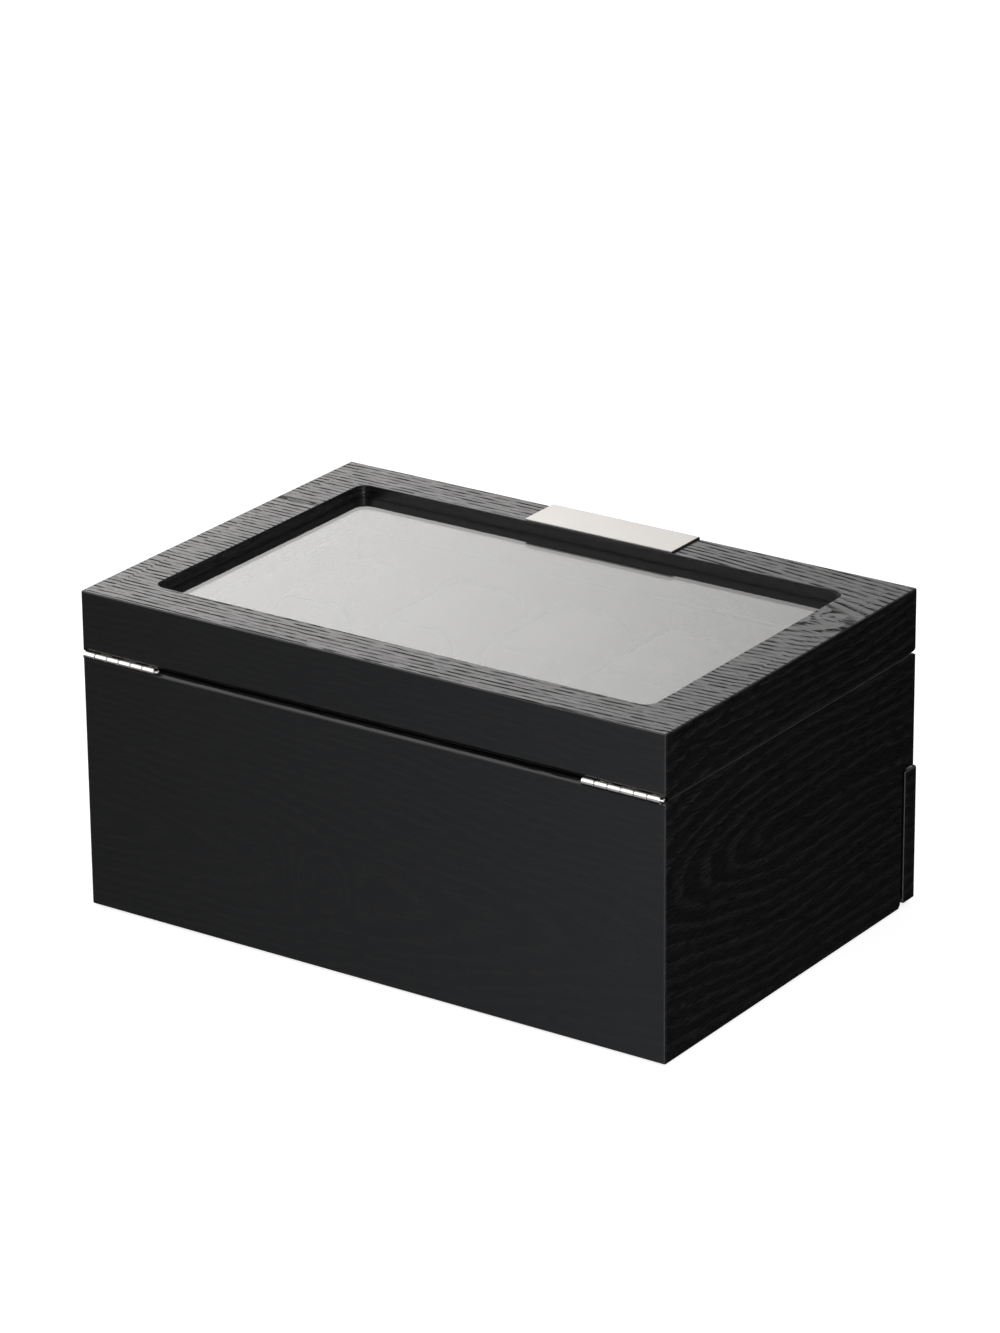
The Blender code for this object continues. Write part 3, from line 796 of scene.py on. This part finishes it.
def screw_mesh():
    """A countersunk screw with a cross recess, its head up and its face at z = 0."""
    shank = [(0.0, -0.0065), (0.0006, -0.0055), (0.0008, -0.0020)]
    head = [(SCREW_HEAD, -0.00018), (SCREW_HEAD, -0.00008), (SCREW_HEAD - 0.0002, 0.0), (0.0, 0.00006)]
    shape = bmesh.new()
    rings = []
    for radius, z in shank + head:
        if radius == 0:
            rings.append([shape.verts.new((0, 0, z))] * SCREW_STEPS)
            continue
        turns = [2 * math.pi * i / SCREW_STEPS for i in range(SCREW_STEPS)]
        rings.append([shape.verts.new((radius * math.cos(a), radius * math.sin(a), z)) for a in turns])
    for first, second in zip(rings, rings[1:]):
        for i in range(SCREW_STEPS):
            loop = [first[i - 1], first[i], second[i], second[i - 1]]
            shape.faces.new([v for k, v in enumerate(loop) if v is not loop[k - 1]])
    obj = new_object("screw", mesh_from(shape))
    arm, reach, depth = 0.00022, 0.00105, 0.0006
    combine(
        obj,
        box_solid((-arm, -reach, -depth), (arm, reach, depth)),
        box_solid((-reach, -arm, -depth), (reach, arm, depth)),
    )
    shade(obj)
    mesh = obj.data
    bpy.data.objects.remove(obj)
    return mesh


def hinge_screws(nickel):
    """Three screws in each leaf. Their heads look into the seam."""
    mesh = screw_mesh()
    turned = random.Random(4)
    for side_name in ("left", "right"):
        for side, body in ((-1, "case"), (1, "lid")):
            face = AXIS_Z + side * LEAF_GAP / 2
            for number, (x, y) in enumerate(screw_places(side_name), 1):
                obj = new_object("screw", mesh.copy())
                flip = Matrix.Rotation(math.pi if side > 0 else 0, 4, "X")
                spin = Matrix.Rotation(turned.uniform(0, math.pi), 4, "Z")
                place = Matrix.Translation((x, y, face + side * SCREW_PROUD))
                obj.data.transform(place @ flip @ spin)
                name = f"hinge_{side_name}_{body}_screw_{number}"
                finish_piece(obj, name, nickel, body)


def hinges(nickel):
    for side_name in ("left", "right"):
        for side in (-1, 1):
            hinge_leaf(side_name, side, nickel)
        low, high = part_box(f"hinge_{side_name}_pin")
        pin = rod_solid((high.z - low.z) / 2, low.x, high.x, AXIS_Y, AXIS_Z)
        dress(shade(pin, 0.0002, 3), f"hinge_{side_name}_pin", nickel)
    hinge_screws(nickel)


# Cushions

# A cushion starts as a block of CUSHION_START times its size, is cut into cells, and may swell by CUSHION_CAP.
# It ends CUSHION_ROOM smaller than its CAD piece, with CUSHION_FLAT of its underside flattened.
CUSHION_START = 0.90
CUSHION_ROUND = 0.010
CUSHION_CELL = 0.0035
CUSHION_CAP = 0.0035
CUSHION_FLAT = 0.0016
CUSHION_ROOM = Vector((0.0012, 0.0012, 0.0006))
WRINKLE = 0.0006
SEAM_HOLD = 0.006
SEAM_FROM_END = 0.0075
CLOTH_FRAMES = 20
PIPING = 0.0009
PIPING_STEPS = 64


def cushion_block(size):
    """A rounded block, a little smaller than the finished cushion."""
    obj = box_solid(-size * CUSHION_START / 2, size * CUSHION_START / 2)
    modifier = obj.modifiers.new("round", "BEVEL")
    modifier.width = CUSHION_ROUND
    modifier.segments = 5
    modifier = obj.modifiers.new("voxels", "REMESH")
    modifier.mode = "VOXEL"
    modifier.voxel_size = CUSHION_CELL
    return applied(obj)


def held_share(place, half):
    """1 along the seams around both ends of a cushion, and 0 away from them."""
    from_end = abs(abs(place.y) - half.y)
    off_side = min(half.x - abs(place.x), half.z - abs(place.z))
    return max(0.0, 1 - from_end / SEAM_HOLD) * max(0.0, 1 - max(off_side, 0.0) / CUSHION_ROUND)


def swollen(size, seed):
    """A block blown up as cloth, with its end seams held, so that its sides crown between them."""
    obj = cushion_block(size)
    half = size * CUSHION_START / 2
    rest = [v.co.copy() for v in obj.data.vertices]
    group = obj.vertex_groups.new(name="seams")
    for index, place in enumerate(rest):
        group.add([index], held_share(place, half), "REPLACE")
    modifier = obj.modifiers.new("cloth", "CLOTH")
    settings = modifier.settings
    settings.use_pressure = True
    settings.uniform_pressure_force = 4.0
    settings.quality = 5
    settings.tension_stiffness = 12
    settings.compression_stiffness = 12
    settings.bending_stiffness = 1.2
    settings.vertex_group_mass = "seams"
    settings.effector_weights.gravity = 0
    scene = bpy.context.scene
    for number in range(1, CLOTH_FRAMES + 1):
        scene.frame_set(number)
    applied(obj)
    scene.frame_set(1)
    for vertex, start in zip(obj.data.vertices, rest):
        moved = vertex.co - start
        if moved.length > CUSHION_CAP:
            moved *= CUSHION_CAP / moved.length
        wrinkle = noise.noise(Vector((start.x * 60, start.y * 130, start.z * 60 + seed * 9.7)))
        vertex.co = start + moved + moved.normalized() * wrinkle * WRINKLE
    return obj


def fit_cushion(obj, size):
    """Scales the swollen shape to its room and flattens it where it rests."""
    low = Vector([min(v.co[axis] for v in obj.data.vertices) for axis in range(3)])
    high = Vector([max(v.co[axis] for v in obj.data.vertices) for axis in range(3)])
    for vertex in obj.data.vertices:
        share = Vector([(vertex.co[a] - low[a]) / (high[a] - low[a]) for a in range(3)])
        vertex.co = Vector([(share[a] - 0.5) * size[a] for a in range(3)])
        vertex.co.z = max(-size.z / 2, vertex.co.z * (1 + CUSHION_FLAT / size.z) - CUSHION_FLAT / 2)


def end_seam(obj, size, toward):
    """The line of the seam around one end, found on the cushion's own surface."""
    points = []
    y = toward * (size.y / 2 - SEAM_FROM_END)
    for index in range(PIPING_STEPS):
        turn = 2 * math.pi * index / PIPING_STEPS
        direction = Vector((math.cos(turn), 0, math.sin(turn)))
        start = Vector((0, y, 0)) + direction * size.length
        hit, place, normal, _ = obj.ray_cast(start, -direction)
        if hit:
            points.append(place + normal * PIPING * 0.25)
    return points


def piping(points):
    """A closed round cord along points."""
    curve = bpy.data.curves.new("piping", "CURVE")
    curve.dimensions = "3D"
    curve.bevel_depth = PIPING
    curve.bevel_resolution = 2
    spline = curve.splines.new("POLY")
    spline.points.add(len(points) - 1)
    for point, place in zip(spline.points, points):
        point.co = (*place, 1)
    spline.use_cyclic_u = True
    guide = new_object("piping", curve)
    graph = bpy.context.evaluated_depsgraph_get()
    mesh = bpy.data.meshes.new_from_object(guide.evaluated_get(graph))
    bpy.data.objects.remove(guide)
    return mesh


def cushion_mesh(size, seed):
    """One cushion with its piping, centred on the origin."""
    obj = swollen(size, seed)
    modifier = obj.modifiers.new("smooth", "SUBSURF")
    modifier.levels = 1
    modifier.render_levels = 1
    applied(obj)
    fit_cushion(obj, size)
    bpy.context.view_layer.update()
    shape = bmesh.new()
    shape.from_mesh(obj.data)
    for toward in (-1, 1):
        shape.from_mesh(piping(end_seam(obj, size, toward)))
    bpy.data.objects.remove(obj)
    mesh = mesh_from(shape)
    mesh.shade_smooth()
    return mesh


def cushions(cloth):
    """Twenty cushions from two sewn patterns, each turned and eased a little in its own way."""
    low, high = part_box("tray_cushion_1")
    patterns = [cushion_mesh(high - low - CUSHION_ROOM, seed) for seed in (1, 2)]
    eased = random.Random(11)
    for prefix in ("tray", "drawer"):
        for number in range(1, 11):
            node = f"{prefix}_cushion_{number}"
            low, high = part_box(node)
            obj = new_object(node, patterns[number % 2].copy())
            turn = Matrix.Rotation(math.radians(eased.uniform(-1.2, 1.2)), 4, "Z")
            if eased.random() < 0.5:
                turn = turn @ Matrix.Rotation(math.pi, 4, "Z")
            obj.location = (low + high) / 2
            obj.rotation_euler = turn.to_euler()
            dress(obj, node, cloth)


# Insides and the rest


def insides(board, plush, felt, glass, veneer):
    """The CAD pieces whose shape is right, with their edges rounded."""
    for node in ("case_bottom_panel", "tray_floor", "drawer_left_side", "drawer_right_side", "drawer_back"):
        refined(node, board, width=0.0003, segments=2)
    refined("drawer_bottom", board, width=0.0002, segments=2)
    refined("drawer_front", veneer, width=0.0006)
    for prefix in ("tray", "drawer"):
        refined(f"{prefix}_lining", plush, width=0.0004, segments=2)
        refined(f"{prefix}_long_divider", plush, width=0.0012, segments=4)
        for number in range(1, 5):
            refined(f"{prefix}_cross_divider_{number}", plush, width=0.0012, segments=4)
    refined("glass_retainer", plush, width=0.0005, segments=3)
    refined("felt_base", felt, width=0.0002, segments=2)
    refined("lid_glass", glass, width=0.0003, segments=2)


# Stage, light and camera

# The camera, fitted to the photographed box's edges in perspective. Angles are in degrees and the lens in mm.
CAMERA_PLACE = Vector((-1.3230, 1.9186, 1.0367))
CAMERA_AZIMUTH, CAMERA_ELEVATION, CAMERA_ROLL = 214.58, 21.557, -0.526
CAMERA_LENS = 151.4
SENSOR_WIDTH = 36
FLOOR_HALF = 8


def direction(azimuth, elevation):
    """A unit vector; azimuth 0 points along -Y and 90 along +X."""
    a, e = math.radians(azimuth), math.radians(elevation)
    return Vector((math.sin(a) * math.cos(e), -math.cos(a) * math.cos(e), math.sin(e)))


def camera():
    back = direction(CAMERA_AZIMUTH, CAMERA_ELEVATION)
    right = Vector((0, 0, 1)).cross(back).normalized()
    turn = Matrix((right, back.cross(right), back)).transposed()
    data = bpy.data.cameras.new("camera")
    data.lens = CAMERA_LENS
    data.sensor_width = SENSOR_WIDTH
    obj = new_object("camera", data)
    roll = Matrix.Rotation(math.radians(CAMERA_ROLL), 3, "Z")
    obj.matrix_world = Matrix.Translation(CAMERA_PLACE) @ (turn @ roll).to_4x4()
    bpy.context.scene.camera = obj


def floor():
    """A plain pale floor, faintly luminous. Reflections don't show it, and it throws no light back."""
    shape = bmesh.new()
    bmesh.ops.create_grid(shape, x_segments=1, y_segments=1, size=FLOOR_HALF)
    obj = new_object("floor", mesh_from(shape))
    finish = Finish("pale_floor", Roughness=0.9)
    speckle = finish.noise(finish.place, scale=300.0, detail=2.0)
    colour = finish.colours(speckle, (0.40, 0.40, 0.40), (0.42, 0.42, 0.42))
    finish.shader.inputs["Emission Color"].default_value = (1, 1, 1, 1)
    finish.shader.inputs["Emission Strength"].default_value = 0.80
    finish.shader.inputs["Specular IOR Level"].default_value = 0
    obj.data.materials.append(finish.use(Base_Color=colour))
    obj.visible_glossy = False
    obj.visible_diffuse = False


WARM, EVEN, COOL = (1.0, 0.985, 0.975), (1.0, 1.0, 1.0), (0.90, 0.95, 1.0)
LIGHTS = (
    # azimuth, elevation, bright out to and dark from (all in degrees), strength, tint
    (57, 24, 16, 32, 2.34, WARM),
    (0, 90, 10, 60, 0.55, EVEN),
    (120, 30, 16, 46, 1.6, EVEN),
    (-28, 38, 5, 20, 0.9, COOL),
    (170, -20, 14, 32, 0.75, COOL),
    (214.6, -22, 5, 16, 2.5, COOL),
    (-95, 25, 12, 36, 0.3, EVEN),
    (-60, -30, 6, 17, 0.4, EVEN),
    (-10, -52, 8, 24, 0.5, EVEN),
    (6, -3, 6, 22, 0.4, EVEN),
    (222, 34, 10, 30, 0.7, EVEN),
    (88, -8, 8, 30, 0.4, EVEN),
)


def studio_light():
    """Soft boxes in a dim room, each round, even in the middle and faded toward its rim. The camera sees a
    plain white backdrop instead."""
    world = bpy.data.worlds.new("studio")
    bpy.context.scene.world = world
    world.use_nodes = True
    nodes = Nodes(world.node_tree)
    place = nodes.add("ShaderNodeTexCoord")["Generated"]
    base = nodes.ramp(nodes.split(place)[2], -0.05, 0.45, 0.008, 0.25)
    light = nodes.vector(base, base, base)
    for azimuth, elevation, bright, dark, strength, tint in LIGHTS:
        inputs = {0: place, 1: direction(azimuth, elevation)}
        toward = nodes.add("ShaderNodeVectorMath", inputs, operation="DOT_PRODUCT")["Value"]
        angle = nodes.math("ARCCOSINE", nodes.math("MINIMUM", toward, 1.0))
        share = nodes.ramp(angle, math.radians(dark), math.radians(bright))
        coloured = {0: Vector(tint) * strength, "Scale": share}
        tinted = nodes.add("ShaderNodeVectorMath", coloured, operation="SCALE")["Vector"]
        light = nodes.add("ShaderNodeVectorMath", {0: light, 1: tinted}, operation="ADD")["Vector"]
    seen = nodes.add("ShaderNodeLightPath")["Is Camera Ray"]
    shown = nodes.colours(seen, light, EVEN)
    world.node_tree.links.new(shown, world.node_tree.nodes["Background"].inputs["Color"])
    bpy.context.scene.view_settings.view_transform = "Standard"


def corner_light():
    """A small soft light near the left rear corner: the left side gets darker away from it."""
    data = bpy.data.lights.new("corner_light", "AREA")
    data.size = 0.22
    data.energy = 0.7
    obj = new_object("corner_light", data)
    obj.location = (-0.42, 0.34, 0.30)
    toward = Vector((-HALF_L, 0.02, 0.07)) - obj.location
    obj.rotation_euler = toward.to_track_quat("-Z", "Y").to_euler()
    obj.visible_camera = False


def main():
    camera()
    floor()
    studio_light()
    corner_light()
    veneer, board, plush, cloth = black_veneer(), stained_board(), velour(), cushion_cloth()
    steel, nickel = satin_steel(), bright_nickel()
    wooden_walls(veneer)
    top_frame(veneer)
    plate_and_pull(steel)
    hinges(nickel)
    insides(board, plush, base_felt(), window_glass(), veneer)
    cushions(cloth)


main()
